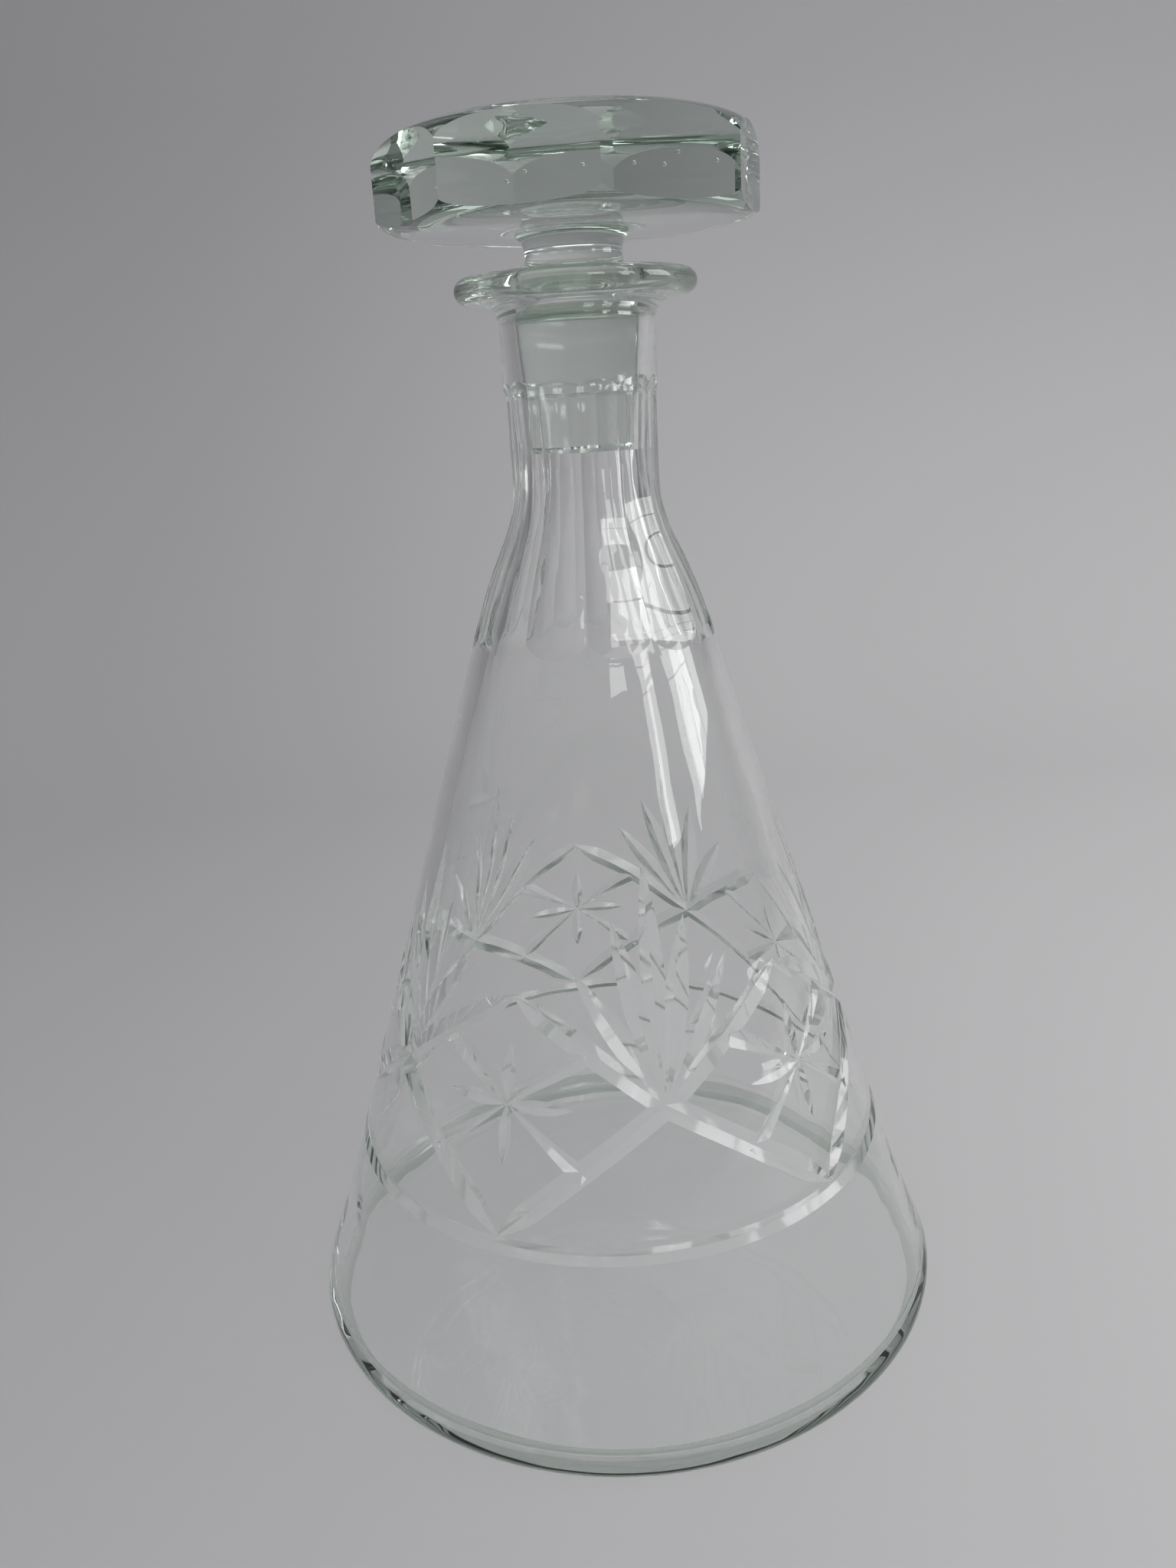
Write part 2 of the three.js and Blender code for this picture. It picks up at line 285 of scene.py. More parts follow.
def paperMaterial(name):
    material = bpy.data.materials.new(name)
    material.use_nodes = True
    nodes, links = material.node_tree.nodes, material.node_tree.links
    shader = nodes["Principled BSDF"]
    shader.inputs["Roughness"].default_value = stage["roughness"]
    place = nodes.new("ShaderNodeTexCoord")
    split = nodes.new("ShaderNodeSeparateXYZ")
    rise = nodes.new("ShaderNodeMapRange")
    rise.inputs["From Max"].default_value = stage["wallToneFrom"]
    aside = nodes.new("ShaderNodeMapRange")
    aside.interpolation_type = "SMOOTHSTEP"
    aside.inputs["From Min"].default_value = -stage["sideways"]
    aside.inputs["From Max"].default_value = stage["sideways"]
    # Painted light and shade: lighter to the right across the floor, darker up the wall.
    floor, blend = nodes.new("ShaderNodeMix"), nodes.new("ShaderNodeMix")
    floor.data_type = blend.data_type = "RGBA"
    floor.inputs["A"].default_value = stage["shadedLeftColour"]
    floor.inputs["B"].default_value = stage["litRightColour"]
    blend.inputs["B"].default_value = stage["shadedWallColour"]
    links.new(place.outputs["Object"], split.inputs[0])
    links.new(split.outputs["X"], aside.inputs["Value"])
    links.new(split.outputs["Z"], rise.inputs["Value"])
    links.new(aside.outputs[0], floor.inputs["Factor"])
    links.new(floor.outputs["Result"], blend.inputs["A"])
    links.new(rise.outputs[0], blend.inputs["Factor"])
    links.new(blend.outputs["Result"], shader.inputs["Base Color"])
    return material


# A floor that bends up into a wall behind the decanter.
def makeStage():
    bm = bmesh.new()
    reach, back, bend = stage["floorReach"], stage["wallDistance"], stage["wallBend"]
    side = [Vector((-reach, -reach, 0)), Vector((-reach, back - bend, 0))]
    for i in range(stage["bendSteps"]):
        angle = pi / 2 * (i + 1) / stage["bendSteps"]
        side.append(Vector((-reach, back - bend + bend * sin(angle), bend - bend * cos(angle))))
    side.append(Vector((-reach, back, stage["wallHeight"])))
    verts = [bm.verts.new(place) for place in side]
    edges = [bm.edges.new(pair) for pair in zip(verts, verts[1:])]
    swept = bmesh.ops.extrude_edge_only(bm, edges=edges)["geom"]
    moved = [v for v in swept if isinstance(v, bmesh.types.BMVert)]
    bmesh.ops.translate(bm, verts=moved, vec=(2 * reach, 0, 0))
    bmesh.ops.translate(bm, verts=bm.verts, vec=(0, 0, -stage["belowFoot"]))
    facing = Matrix.Rotation(radians(-shot["partTurn"]), 3, "Z")
    bmesh.ops.rotate(bm, verts=bm.verts, cent=(0, 0, 0), matrix=facing)
    bmesh.ops.recalc_face_normals(bm, faces=bm.faces)
    for face in bm.faces:
        face.smooth = True
    mesh = bpy.data.meshes.new("stage")
    bm.to_mesh(mesh)
    bm.free()
    mesh.materials.append(paperMaterial("stagePaper"))
    sweep = bpy.data.objects.new("stage", mesh)
    bpy.context.scene.collection.objects.link(sweep)


def areaLight(name, place, width, height, strength, aim):
    lamp = bpy.data.lights.new(name, "AREA")
    lamp.shape = "RECTANGLE"
    lamp.size, lamp.size_y = width, height
    lamp.energy = strength * width * height * pi
    holder = bpy.data.objects.new(name, lamp)
    holder.location = place
    holder.rotation_euler = (place - Vector((0, 0, aim))).to_track_quat("Z", "Y").to_euler()
    bpy.context.scene.collection.objects.link(holder)


def makeLights():
    distance, aim = light["windowDistance"], light["windowAim"]
    for window, (turn, rise, wide, high, columns, rows) in enumerate(light["windows"]):
        paneWide, paneHigh = wide / columns, high / rows
        size = [radians(angle) * distance * (1 - light["bar"]) for angle in (paneWide, paneHigh)]
        for column in range(columns):
            for row in range(rows):
                place = roundTheTable(
                    turn + (column - (columns - 1) / 2) * paneWide,
                    rise + (row - (rows - 1) / 2) * paneHigh,
                    distance,
                ) + Vector((0, 0, aim))
                name = f"pane_{window}_{column}_{row}"
                areaLight(name, place, *size, light["windowStrength"], aim)
    above = roundTheTable(0, light["topRise"], light["topDistance"])
    topSize = light["topSize"]
    areaLight("overhead", above, topSize, topSize, light["topStrength"], light["topAim"])


def makeWorld():
    world = bpy.data.worlds.new("room")
    bpy.context.scene.world = world
    world.use_nodes = True
    nodes, links = world.node_tree.nodes, world.node_tree.links
    background = nodes["Background"]
    place = nodes.new("ShaderNodeTexCoord")
    split = nodes.new("ShaderNodeSeparateXYZ")
    rise = nodes.new("ShaderNodeMapRange")
    rise.inputs["From Min"].default_value = light["horizon"]
    rise.inputs["To Min"].default_value = light["room"]
    rise.inputs["To Max"].default_value = light["ceiling"]
    links.new(place.outputs["Generated"], split.inputs[0])
    links.new(split.outputs["Z"], rise.inputs["Value"])
    links.new(rise.outputs[0], background.inputs["Strength"])
    background.inputs["Color"].default_value = light["roomColour"]


makeStage()
makeLights()
makeWorld()


print("glass")
glassLook = {
    "colour": (0.999, 1, 0.999, 1),
    "depthColour": (0.52, 0.62, 0.55, 1),  # what the light keeps in thick glass
    "bottleDensity": 7,  # for each metre
    "stopperDensity": 14,
    "bottleWaves": (60, 0.00018),  # how many in a metre, and their depth in metres
    "stopperWaves": (40, 0.00005),
    "index": 1.5,
    "lampShare": (0.994, 0.995, 0.994, 1),  # of the light that each surface lets on to the floor
    "cutRoughness": 0.35,
    "satinColour": (0.86, 0.88, 0.87, 1),
    # painted shade: the grey green that shaded faces are darkened towards
    "paintedShadeColour": (0.44, 0.53, 0.45, 1),
}


def waveGroup():
    group = bpy.data.node_groups.new("handMadeWaves", "ShaderNodeTree")
    interface = group.interface
    interface.new_socket("Size", in_out="INPUT", socket_type="NodeSocketFloat")
    interface.new_socket("Depth", in_out="INPUT", socket_type="NodeSocketFloat")
    interface.new_socket("Normal", in_out="OUTPUT", socket_type="NodeSocketVector")
    nodes, links = group.nodes, group.links
    entry, leaving = nodes.new("NodeGroupInput"), nodes.new("NodeGroupOutput")
    place = nodes.new("ShaderNodeTexCoord")
    waves = nodes.new("ShaderNodeTexNoise")
    waves.inputs["Detail"].default_value = 1
    bump = nodes.new("ShaderNodeBump")
    bump.inputs["Strength"].default_value = 1
    links.new(place.outputs["Object"], waves.inputs["Vector"])
    links.new(entry.outputs["Size"], waves.inputs["Scale"])
    links.new(entry.outputs["Depth"], bump.inputs["Distance"])
    links.new(waves.outputs[0], bump.inputs["Height"])
    links.new(bump.outputs[0], leaving.inputs[0])
    return group


def glassMaterial(name, handMadeWaves, waveSize, waveDepth, density):
    material = bpy.data.materials.new(name)
    material.use_nodes = True
    nodes, links = material.node_tree.nodes, material.node_tree.links
    shader, output = nodes["Principled BSDF"], nodes["Material Output"]
    shader.inputs["IOR"].default_value = glassLook["index"]
    shader.inputs["Transmission Weight"].default_value = 1
    looks = {}
    for look in lookNames:
        looks[look] = nodes.new("ShaderNodeAttribute")
        looks[look].attribute_name = look
    matt = nodes.new("ShaderNodeMath")
    matt.operation = "MULTIPLY"
    matt.inputs[1].default_value = glassLook["cutRoughness"]
    links.new(looks["ground"].outputs["Fac"], matt.inputs[0])
    links.new(matt.outputs[0], shader.inputs["Roughness"])
    # Painted shade: each face is darkened towards a grey green by its share of it.
    paintedShadeMix = nodes.new("ShaderNodeMix")
    paintedShadeMix.data_type = "RGBA"
    paintedShadeMix.inputs["A"].default_value = glassLook["colour"]
    paintedShadeMix.inputs["B"].default_value = glassLook["paintedShadeColour"]
    links.new(looks["paintedShade"].outputs["Fac"], paintedShadeMix.inputs["Factor"])
    links.new(paintedShadeMix.outputs["Result"], shader.inputs["Base Color"])
    pale = nodes.new("ShaderNodeBsdfDiffuse")
    pale.inputs["Color"].default_value = glassLook["satinColour"]
    wheeled = nodes.new("ShaderNodeMixShader")
    links.new(looks["satin"].outputs["Fac"], wheeled.inputs[0])
    links.new(shader.outputs[0], wheeled.inputs[1])
    links.new(pale.outputs[0], wheeled.inputs[2])
    hand = nodes.new("ShaderNodeGroup")
    hand.node_tree = handMadeWaves
    hand.inputs["Size"].default_value = waveSize
    hand.inputs["Depth"].default_value = waveDepth
    links.new(hand.outputs["Normal"], shader.inputs["Normal"])
    depth = nodes.new("ShaderNodeVolumeAbsorption")
    depth.inputs["Color"].default_value = glassLook["depthColour"]
    depth.inputs["Density"].default_value = density
    links.new(depth.outputs[0], output.inputs["Volume"])
    # Lamps shine straight through on to the paper, and the paper's own light goes back that way.
    path = nodes.new("ShaderNodeLightPath")
    lamps = nodes.new("ShaderNodeMath")
    lamps.operation = "MAXIMUM"
    through = nodes.new("ShaderNodeBsdfTransparent")
    through.inputs["Color"].default_value = glassLook["lampShare"]
    mixed = nodes.new("ShaderNodeMixShader")
    links.new(path.outputs["Is Shadow Ray"], lamps.inputs[0])
    links.new(path.outputs["Is Diffuse Ray"], lamps.inputs[1])
    links.new(lamps.outputs[0], mixed.inputs[0])
    links.new(wheeled.outputs[0], mixed.inputs[1])
    links.new(through.outputs[0], mixed.inputs[2])
    links.new(mixed.outputs[0], output.inputs["Surface"])
    return material


# Light goes to and fro many times in the thick foot and stopper before it leaves them.
cycles = bpy.context.scene.cycles
cycles.max_bounces, cycles.glossy_bounces, cycles.transmission_bounces = 40, 28, 32

waves = waveGroup()
bottleGlass = glassMaterial(
    "bottleGlass", waves, *glassLook["bottleWaves"], glassLook["bottleDensity"]
)
stopperGlass = glassMaterial(
    "stopperGlass", waves, *glassLook["stopperWaves"], glassLook["stopperDensity"]
)


print("bottle")
bottle = {
    "turnSteps": 288,
    "coneRadius": 69.85,  # of the cone drawn down to the table
    "coneSlope": 0.307,  # radius lost for each millimetre of height
    "footRound": 4.6,
    "footRoundEnd": 21,  # degrees
    "darkFootSteps": 8,  # the first of the steps round the foot, which get the fullest painted shade
    "footBend": 22,
    "footFlareTop": 37,
    "puntMargin": 17,
    "puntRise": 1.6,
    "baseThickness": 3.4,
    "floorRound": 3.6,
    "wallThickness": 3.2,
    "footWall": 3.55,  # the inside follows the foot's flare
    "innerFlareTop": 60,
    "innerFlarePull": 42,
    "cornerSlope": 0.384,
    "cornerPull": 14,
    "cornerLean": 0.3,
    "shoulderHeight": 30,
    "shoulderLowerPull": 16,
    "shoulderUpperPull": 12,
    "neckRadius": 14.8,
    "neckLength": 35.9,
    "lipRadius": 22.8,
    "lipThickness": 4.6,
    "lipFillet": 4.4,
    "mouthRadius": 14.4,
    "mouthFlare": 4.4,
    "boreStart": 11,
    "borePull": 17,
    "wallWaves": 0.22,  # how unevenly the inside is blown
    "waveLength": 26,
    "calmHeight": 18,  # the waves grow from a share of this height up
    "calmShare": 0.4,
    "drawnShare": 0.5,  # of the shoulder's height, that the drawn lines reach below it
    "steps": {
        "punt": 12, "foot": 18, "footFlare": 14, "cone": 18, "shoulder": 30, "neck": 4,
        "underLip": 10, "lipEdge": 20, "lipTop": 2, "mouth": 10, "seat": 4, "bore": 30,
        "wall": 20, "innerFlare": 40, "corner": 16, "floor": 12,
    },
}
seat = {
    "plugTopRadius": 11.95,
    "plugBottomRadius": 10.1,
    "plugLength": 25.5,
    "clearance": 0.3,
    "belowRim": 6.4,
}
ring = {"height": 41.5, "width": 3.2, "depth": 0.86}
rim = bottleBox[1].z
footRadius = bottleBox[1].x - inset
neckBottom = rim - bottle["neckLength"]
coneTop = neckBottom - bottle["shoulderHeight"]
coneAngle = atan(bottle["coneSlope"])
seatTop = rim - seat["belowRim"]
seatBottom = seatTop - seat["plugLength"]


def coneRadiusAt(height):
    return bottle["coneRadius"] - bottle["coneSlope"] * height


def onCone(height):
    return at(coneRadiusAt(height), height)


# From the middle of the underside out and up to the mouth.
def outsideOutline():
    steps = bottle["steps"]
    neckRadius = bottle["neckRadius"]
    puntRadius = footRadius - bottle["puntMargin"]
    punt = bent(
        at(0, bottle["puntRise"]), at(puntRadius / 2, bottle["puntRise"]), at(puntRadius, 0),
        steps["punt"],
    )
    footRound, dark = bottle["footRound"], bottle["darkFootSteps"]
    footMiddle = at(footRadius - footRound, footRound)
    foot = arc(footMiddle, footRound, -90, bottle["footRoundEnd"], steps["foot"])
    flareTop = onCone(bottle["footFlareTop"])
    below, above = ring["height"] - ring["width"] / 2, ring["height"] + ring["width"] / 2
    groove = onCone(ring["height"]) - at(ring["depth"], ring["depth"] * bottle["coneSlope"])
    shoulder = bentTwice(
        onCone(coneTop), onCone(coneTop + bottle["shoulderLowerPull"]),
        at(neckRadius, neckBottom - bottle["shoulderUpperPull"]), at(neckRadius, neckBottom),
        steps["shoulder"],
    )
    lipUnderside = rim - bottle["lipThickness"]
    lipRound = bottle["lipThickness"] / 2
    lipMiddle = bottle["lipRadius"] - lipRound
    underLip = bent(
        at(neckRadius, lipUnderside - bottle["lipFillet"]), at(neckRadius, lipUnderside),
        at(lipMiddle, lipUnderside), steps["underLip"],
    )
    lipEdge = arc(at(lipMiddle, rim - lipRound), lipRound, -90, 90, steps["lipEdge"])
    return [
        ("blown", punt),
        ("blown", straight(at(puntRadius, 0), foot[0])),
        # The lowest steps round the foot get the full painted shade, the rest of its round a
        # lighter painted shade.
        ("foot", foot[:dark + 1]),
        ("edge", foot[dark:]),
        ("blown", bent(foot[-1], onCone(bottle["footBend"]), flareTop, steps["footFlare"])),
        ("blown", straight(flareTop, onCone(below))),
        ("ring", straight(onCone(below), groove)),
        ("ring", straight(groove, onCone(above))),
        ("blown", straight(onCone(above), onCone(coneTop), steps["cone"])),
        ("blown", shoulder),
        ("blown", straight(shoulder[-1], underLip[0], steps["neck"])),
        ("blown", underLip),
        # The lip's faces are darkened with painted shade.
        ("lip", lipEdge),
        ("lip", straight(lipEdge[-1], at(bottle["mouthRadius"], rim), steps["lipTop"])),
    ]


def onWall(height):
    return onCone(height) - at(bottle["wallThickness"] / cos(coneAngle), 0)


# From the mouth down to the middle of the floor.
def insideOutline():
    steps = bottle["steps"]
    boreTop = seat["plugTopRadius"] + seat["clearance"]
    boreBottom = seat["plugBottomRadius"] + seat["clearance"]
    mouth = bent(
        at(bottle["mouthRadius"], rim), at(boreTop, rim), at(boreTop, rim - bottle["mouthFlare"]),
        steps["mouth"],
    )
    boreFoot = coneTop - bottle["boreStart"]
    bore = bentTwice(
        at(boreBottom, seatBottom), at(boreBottom, seatBottom - bottle["borePull"]),
        onWall(boreFoot + bottle["borePull"]), onWall(boreFoot), steps["bore"],
    )
    base = bottle["baseThickness"]
    cornerTop = at(footRadius - bottle["footWall"], base + bottle["floorRound"])
    cornerFoot = at(cornerTop.x + bottle["cornerLean"], base)
    floorEdge = cornerFoot - at(bottle["floorRound"], 0)
    flare = bentTwice(
        onWall(bottle["innerFlareTop"]), onWall(bottle["innerFlarePull"]),
        cornerTop + at(-bottle["cornerSlope"], 1) * bottle["cornerPull"], cornerTop,
        steps["innerFlare"],
    )
    return [
        ("blown", mouth),
        ("blown", straight(mouth[-1], at(boreTop, seatTop))),
        ("ground", straight(at(boreTop, seatTop), bore[0], steps["seat"])),
        ("inside", bore),
        ("inside", straight(bore[-1], flare[0], steps["wall"])),
        ("inside", flare),
        ("inside", bent(cornerTop, cornerFoot, floorEdge, steps["corner"])),
        ("inside", straight(floorEdge, at(0, base), steps["floor"])),
    ]


def clamped(share):
    return min(max(share, 0), 1)


def blowBottle():
    bm = bmesh.new()
    for finish, outline in outsideOutline() + insideOutline():
        spinWedge(bm, outline, finish, bottle["turnSteps"])
    closeRound(bm)
    inside = finishes.index("inside")
    for vert in bm.verts:
        if all(face.material_index == inside for face in vert.link_faces):
            wavy = clamped(vert.co.z / bottle["calmHeight"] - bottle["calmShare"])
            uneven = wavy * bottle["wallWaves"] * noise.noise(vert.co / bottle["waveLength"])
            inNeck = (vert.co.z - coneTop) / bottle["shoulderHeight"]
            lined = clamped(inNeck + bottle["drawnShare"])
            vert.co += vert.normal * (uneven + lined * drawn["boreDepth"] * drawnLines(vert.co))
    return newPiece("cut_glass_bottle", bm)


print("flutes")
flutes = {
    "count": 12,
    "turn": 1.5,  # degrees from the front to the middle of a flute
    "depth": 1.15,
    "hollow": 0.25,  # how far the middle of a flute lies below a flat one
    "overlap": 2.5,  # how far they reach below the shoulder
    "belowRim": 18.9,
    "runIn": 4.4,
    "runOut": 3.2,
    "beyond": 2,
    "stepsAcross": 24,
    "stepsAtEnds": 10,
    "stepsAlong": 40,
}


def fluteCutter():
    slope, lowerPull = bottle["coneSlope"], bottle["shoulderLowerPull"]
    bottom = coneTop - flutes["overlap"]
    top = rim - flutes["belowRim"]
    ground = bottom + flutes["runIn"]
    groundRadius = coneRadiusAt(ground) - flutes["depth"]
    floorRadius = bottle["neckRadius"] - flutes["depth"]
    halfIn = at(groundRadius + slope * flutes["runIn"] / 2, ground - flutes["runIn"] / 2)
    runIn = bent(onCone(bottom), halfIn, at(groundRadius, ground), flutes["stepsAtEnds"])
    floor = bentTwice(
        runIn[-1], at(groundRadius - slope * lowerPull, ground + lowerPull),
        at(floorRadius, neckBottom - bottle["shoulderUpperPull"]), at(floorRadius, neckBottom),
        flutes["stepsAlong"],
    )
    runOut = bent(
        at(floorRadius, top - flutes["runOut"]), at(floorRadius, top - flutes["runOut"] / 2),
        at(bottle["neckRadius"], top), flutes["stepsAtEnds"],
    )
    start = onCone(bottom) + at(flutes["beyond"], -flutes["beyond"])
    end = runOut[-1] + at(flutes["beyond"], flutes["beyond"])
    outer = coneRadiusAt(0)
    outline = [start, *runIn, *floor[1:], *runOut, end]
    outline += [at(outer, end.z), at(outer, start.z), start]
    bm = bmesh.new()
    spinWedge(bm, outline, "fluted", flutes["count"] * flutes["stepsAcross"])
    closeRound(bm)
    halfPitch = pi / flutes["count"]
    for vert in bm.verts:
        radius = vert.co.xy.length
        if radius < outer / 2:
            turn = atan2(vert.co.x, -vert.co.y)
            within = turn - round(turn / (2 * halfPitch)) * 2 * halfPitch
            stretch = 1 / cos(within) + flutes["hollow"] / radius * (within / halfPitch) ** 2
            vert.co.x *= stretch
            vert.co.y *= stretch
    turned = Matrix.Rotation(radians(flutes["turn"]), 3, "Z")
    bmesh.ops.rotate(bm, verts=bm.verts, cent=(0, 0, 0), matrix=turned)
    return newPiece("fluteWheel", bm)


print("wheel cuts")
pattern = {
    "motifs": 5,  # fans round the body, and as many stars between them
    "height": 67.5,  # of the crossings and of the middles of the stars
    "mitre": 0.27,  # depth over width
    "step": 1.2,
    "trellisRise": 19.5,
    "trellisDrop": 24.4,
    "trellisWidth": 4.3,
    "overrun": 0.02,
    "fanTips": [(0, 44.5), (10.5, 34), (21, 25)],  # degrees aside and rise of each ray
    "fanWidths": [4.2, 4.4, 4.4],
    "starRise": 11.4,
    "starReach": 15.5,  # degrees to either side that the level rays reach
    "starRayWidth": 2.7,
    "leafWidth": 3.8,
    "uneven": 0.015,  # each cut is wider than the one before by this share
    "unevenCuts": 7,  # until this starts again
    "trellisTip": 0.1,  # depth at the tip of a trellis cut
    "trellisRunIn": 5,  # how fast it gets its full depth
    "leafBelly": 0.8,
    "endsAbove": 0.03,  # the rays and leaves run out of the glass at their tips
}


# A place on the cone laid out flat, with the cone's tip at the origin.
def laidOut(turn, height):
    slant = coneRadiusAt(height) / sin(coneAngle)
    spread = radians(turn) * sin(coneAngle)
    return Vector((slant * sin(spread), -slant * cos(spread)))


def rolledUp(place, out):
    turn = atan2(place.x, -place.y) / sin(coneAngle)
    coneRadius = place.length * sin(coneAngle)
    radius = coneRadius + out * cos(coneAngle)
    height = (bottle["coneRadius"] - coneRadius) / bottle["coneSlope"] + out * sin(coneAngle)
    return Vector((radius * sin(turn), -radius * cos(turn), height))


# One pass of the mitre wheel, made on the flat cone and rolled up, for each motif round the body.
# It starts as a three-sided rod, one edge of which becomes the bottom of the cut.
def wheelCut(name, start, end, width, depthAlong, finish):
    start, end = laidOut(*start), laidOut(*end)
    along = end - start
    across = Vector((-along.y, along.x)).normalized()
    bm = bmesh.new()
    bmesh.ops.create_cone(bm, cap_ends=True, segments=3, radius1=1, radius2=1, depth=1)
    long = [edge for edge in bm.edges if edge.verts[0].co.z * edge.verts[1].co.z < 0]
    bmesh.ops.subdivide_edges(bm, edges=long, cuts=ceil(along.length / pattern["step"]) - 1)
    lift = width * pattern["mitre"]
    back = cos(tau / 3)
    for vert in bm.verts:
        share = vert.co.z + 0.5
        depth = width * pattern["mitre"] * depthAlong(share)
        below = (vert.co.y - back) / (1 - back)
        aside = vert.co.x / sin(tau / 3)
        place = start + along * share + across * aside * (lift + depth) / (2 * pattern["mitre"])
        vert.co = rolledUp(place, lift - below * (lift + depth))
    for face in bm.faces:
        face.material_index = finishes.index(finish)
    repeatRound(bm, pattern["motifs"])
    bmesh.ops.recalc_face_normals(bm, faces=bm.faces)
    return newPiece(name, bm)


# How deep a pass goes along its length, of its full depth.
def trellisCut(share):
    return min(1, pattern["trellisRunIn"] * share + pattern["trellisTip"])


def rayCut(share):
    return 4 * share * (1 - share) - pattern["endsAbove"]


def leafCut(share):
    return share ** pattern["leafBelly"] - pattern["endsAbove"]


def patternCutters():
    cutters = []

    def cut(start, end, width, depthAlong, finish="cut"):
        width *= 1 + pattern["uneven"] * (len(cutters) % pattern["unevenCuts"])
        cutters.append(wheelCut(f"wheel_{len(cutters)}", start, end, width, depthAlong, finish))

    height, overrun = pattern["height"], pattern["overrun"]
    trellisRises = (pattern["trellisRise"], -pattern["trellisDrop"])
    half = 180 / pattern["motifs"]  # degrees from a fan to a star
    for side in (-half, half):
        for rise in trellisRises:
            tip, past = [(side * s, height + rise * s) for s in (1 + overrun, -overrun)]
            cut(tip, past, pattern["trellisWidth"], trellisCut)
    for (aside, rise), width in zip(pattern["fanTips"], pattern["fanWidths"]):
        for turn in ([-aside, aside] if aside else [0]):
            cut((0, height), (turn, height + rise), width, rayCut, "fan")
    star = (half, height)
    reach, rise = pattern["starReach"], pattern["starRise"]
    for turn, lifted in ((0, rise), (0, -rise), (-reach, 0), (reach, 0)):
        cut(star, (half + turn, height + lifted), pattern["starRayWidth"], rayCut)
    for turn in (-half / 2, half / 2):
        for rise in trellisRises:
            cut(star, (half + turn, height + rise / 2), pattern["leafWidth"], leafCut)
    return cutters


blownBottle = blowBottle()
carve(blownBottle, [fluteCutter(), *patternCutters()])
finishPiece(blownBottle, bottleGlass)
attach(blownBottle, "bottle")
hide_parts("bottle")
print("bottle faces", len(blownBottle.data.polygons))


print("stopper")
stopper = {
    "turnSteps": 240,
    "plugChamfer": 0.8,
    "plugEdge": 1.3,  # a band this long at the top of the plug is darkened as a line of painted shade
    "darkSteps": 4,  # of the waist above it, darkened with the same painted shade
    "chips": 0.35,  # depth of the chips round the plug's foot
    "chipLength": 2.2,
    "chipReach": 0.1,  # past the chamfer
    "stemRadius": 9.1,
    "stemAboveRim": 3.4,
    "stemPull": 3.7,
    "stemFillet": 4.5,
    "headAboveRim": 7.3,
    "headCornerRadius": 35.8,
    "headBlankRadius": 36.15,  # the round blank that the flats are cut from
    "headSides": 8,
    "headLowerRise": 7.4,
    "headLowerSquareness": 6,
    "headUpperSquareness": 3.9,
    "steps": {"plugFoot": 6, "plug": 6, "waist": 14, "fillet": 12, "bulge": 40},
    "turn": -2.5,
    "bubbleRadius": 0.42,
    # across, back, and up from the head's underside
    "bubbles": [
        (-5, -3, 15.5), (-4.6, 2, 9), (5, -2, 9.2), (11, 3, 9.4), (21, -4, 9.3), (-7, 6, 7.9),
        (14, 9, 12),
    ],
}
plugBottom = stopperBox[0].z
headUnderside = rim + stopper["headAboveRim"]
headMiddle = headUnderside + stopper["headLowerRise"]


# Half of the head, from its widest place to the axis: up, or down where the rise is negative.
def bulge(rise, squareness):
    places = []
    for i in range(stopper["steps"]["bulge"] + 1):
        angle = pi / 2 * i / stopper["steps"]["bulge"]
        places.append(at(
            stopper["headBlankRadius"] * max(cos(angle), 0) ** (2 / squareness),
            headMiddle + rise * sin(angle) ** (2 / squareness),
        ))
    return places


# From the middle of the plug's foot out and up to the top of the head.
def stopperOutline():
    steps, dark = stopper["steps"], stopper["darkSteps"]
    chamfer = stopper["plugChamfer"]
    plugFoot = at(seat["plugBottomRadius"], plugBottom + chamfer)
    plugHead = at(seat["plugTopRadius"], seatTop)
    footEdge = at(plugFoot.x - chamfer, plugBottom)
    lineFoot = plugHead.lerp(plugFoot, stopper["plugEdge"] / seat["plugLength"])
    narrow = at(stopper["stemRadius"], rim + stopper["stemAboveRim"])
    pull = at(0, stopper["stemPull"])
    waist = bentTwice(plugHead, plugHead + pull, narrow - pull, narrow, steps["waist"])
    fillet = bent(
        narrow, at(narrow.x, headUnderside), at(narrow.x + stopper["stemFillet"], headUnderside),
        steps["fillet"],
    )
    lower = bulge(-stopper["headLowerRise"], stopper["headLowerSquareness"])
    upper = bulge(stopperBox[1].z - headMiddle, stopper["headUpperSquareness"])
    return [
        ("blown", straight(at(0, plugBottom), footEdge, steps["plugFoot"])),
        ("blown", straight(footEdge, plugFoot)),
        ("ground", straight(plugFoot, lineFoot, steps["plug"])),
        # Painted shade: a dark line round the top of the plug and the foot of the waist.
        ("foot", straight(lineFoot, plugHead)),
        ("foot", waist[:dark + 1]),
        ("blown", waist[dark:]),
        ("blown", fillet),
        ("blown", [fillet[-1], *lower[-2::-1]]),
        ("blown", upper),
    ]


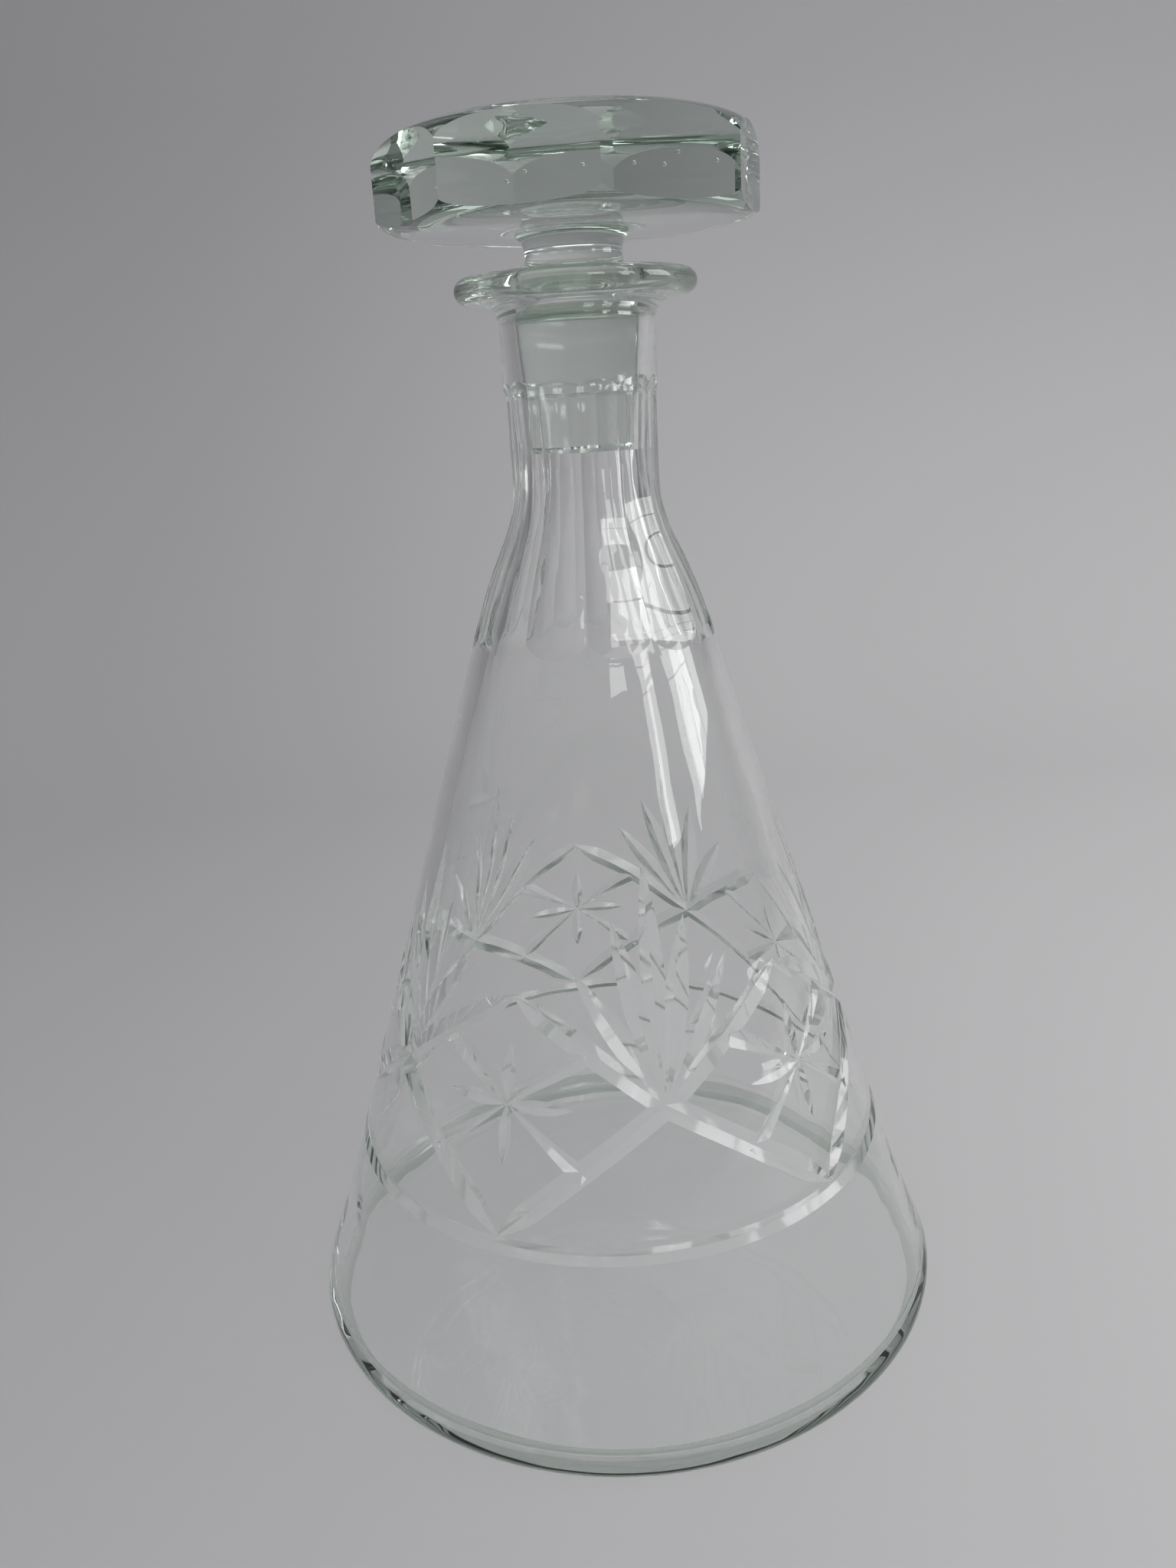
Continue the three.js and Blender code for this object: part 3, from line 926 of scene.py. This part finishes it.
# The chips round the foot of the plug, and the lines up its ground side.
def wearPlug(bm):
    ground = finishes.index("ground")
    reach = stopper["chipReach"]
    chippedBelow = plugBottom + stopper["plugChamfer"] + reach
    chippedFrom = seat["plugBottomRadius"] - stopper["plugChamfer"] - reach
    for vert in bm.verts:
        radius = vert.co.xy.length
        if vert.co.z < chippedBelow and radius > chippedFrom:
            chip = max(noise.noise(vert.co / stopper["chipLength"]), 0) * stopper["chips"]
            vert.co.xy *= 1 - chip / radius
        elif all(face.material_index == ground for face in vert.link_faces):
            vert.co.xy *= 1 + drawn["plugDepth"] * drawnLines(vert.co) / radius


def cutFlats(bm):
    across = stopper["headCornerRadius"] * cos(pi / stopper["headSides"])
    for i in range(stopper["headSides"]):
        turn = tau * (i + 0.5) / stopper["headSides"] + radians(stopper["turn"])
        facing = Vector((cos(turn), sin(turn), 0))
        sawn = bmesh.ops.bisect_plane(
            bm, geom=bm.verts[:] + bm.edges[:] + bm.faces[:], dist=closeness["sliver"],
            plane_co=facing * across, plane_no=facing, clear_outer=True,
        )
        border = [edge for edge in sawn["geom_cut"] if isinstance(edge, bmesh.types.BMEdge)]
        bmesh.ops.edgeloop_fill(bm, edges=border, mat_nr=finishes.index("fluted"))
    bmesh.ops.recalc_face_normals(bm, faces=bm.faces)


def addBubbles(bm):
    solid = set(bm.faces)
    for across, back, up in stopper["bubbles"]:
        middle = Matrix.Translation((across, back, headUnderside + up))
        bmesh.ops.create_icosphere(
            bm, subdivisions=3, radius=stopper["bubbleRadius"], matrix=middle
        )
    bmesh.ops.reverse_faces(bm, faces=list(set(bm.faces) - solid))


def makeStopper():
    bm = bmesh.new()
    for finish, outline in stopperOutline():
        spinWedge(bm, outline, finish, stopper["turnSteps"])
    closeRound(bm)
    wearPlug(bm)
    cutFlats(bm)
    addBubbles(bm)
    return newPiece("ground_in_stopper", bm)


groundStopper = makeStopper()
finishPiece(groundStopper, stopperGlass)
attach(groundStopper, "stopper")
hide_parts("stopper")
print("stopper faces", len(groundStopper.data.polygons))


bpy.context.scene.view_settings.view_transform = "Standard"
bpy.context.view_layer.update()
print("done")
